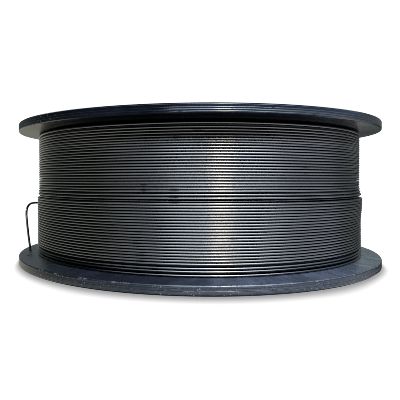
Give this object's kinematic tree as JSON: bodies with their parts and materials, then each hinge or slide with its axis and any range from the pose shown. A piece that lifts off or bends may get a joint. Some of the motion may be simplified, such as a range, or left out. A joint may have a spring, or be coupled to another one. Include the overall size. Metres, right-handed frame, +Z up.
{
  "type": "welding wire spool",
  "caption": "Flanged moulded plastic spool standing on one flange, layer-wound nearly full with grey steel welding wire, its loose wire end hooked into a small hole in the lower flange.",
  "frame": {"origin": "on the spool's axis, at the level of the floor that its lower flange stands on", "axes": "+Z up along the spool's axis, -Y towards the viewer, with the wire end at the -X side"},
  "size_m": [0.27, 0.27, 0.1],
  "materials": {
    "spool_plastic": "blue-black moulded plastic, semi-gloss, lightly scuffed",
    "wire_steel": "bright drawn grey steel wire"
  },
  "bodies": {
    "root": {"spool": "spool_plastic", "wire_coil": "wire_steel", "wire_end": "wire_steel"}
  },
  "joints": []
}
